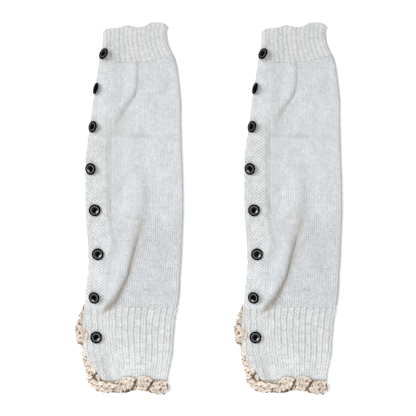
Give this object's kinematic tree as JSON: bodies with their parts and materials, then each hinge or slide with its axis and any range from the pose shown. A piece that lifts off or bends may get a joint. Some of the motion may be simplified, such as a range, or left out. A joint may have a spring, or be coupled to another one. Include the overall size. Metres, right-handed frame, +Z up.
{
  "type": "pair of leg warmers",
  "caption": "Pair of knitted leg warmers laid flat, with ribbed cuffs, a buttoned placket down one side and crocheted lace at the hem.",
  "frame": {"origin": "middle of the pair's footprint, on the surface it lies on", "axes": "+X across the pair from the left warmer to the right one, +Y from the lace hems towards the top cuffs, +Z up from the surface, towards the front of the garments"},
  "size_m": [0.299, 0.4164, 0.0152],
  "materials": {
    "knit": "soft white knit",
    "lace": "cream crocheted cotton",
    "button": "glossy black"
  },
  "bodies": {
    "root": {"left_top_cuff": "knit", "left_leg": "knit", "left_bottom_cuff": "knit", "left_placket": "knit", "left_hem_lace": "lace", "left_back_lace": "lace", "left_side_lace": "lace", "left_button_1": "button", "left_button_2": "button", "left_button_3": "button", "left_button_4": "button", "left_button_5": "button", "left_button_6": "button", "left_button_7": "button", "left_button_8": "button", "right_top_cuff": "knit", "right_leg": "knit", "right_bottom_cuff": "knit", "right_placket": "knit", "right_hem_lace": "lace", "right_back_lace": "lace", "right_side_lace": "lace", "right_button_1": "button", "right_button_2": "button", "right_button_3": "button", "right_button_4": "button", "right_button_5": "button", "right_button_6": "button", "right_button_7": "button", "right_button_8": "button"}
  },
  "joints": []
}
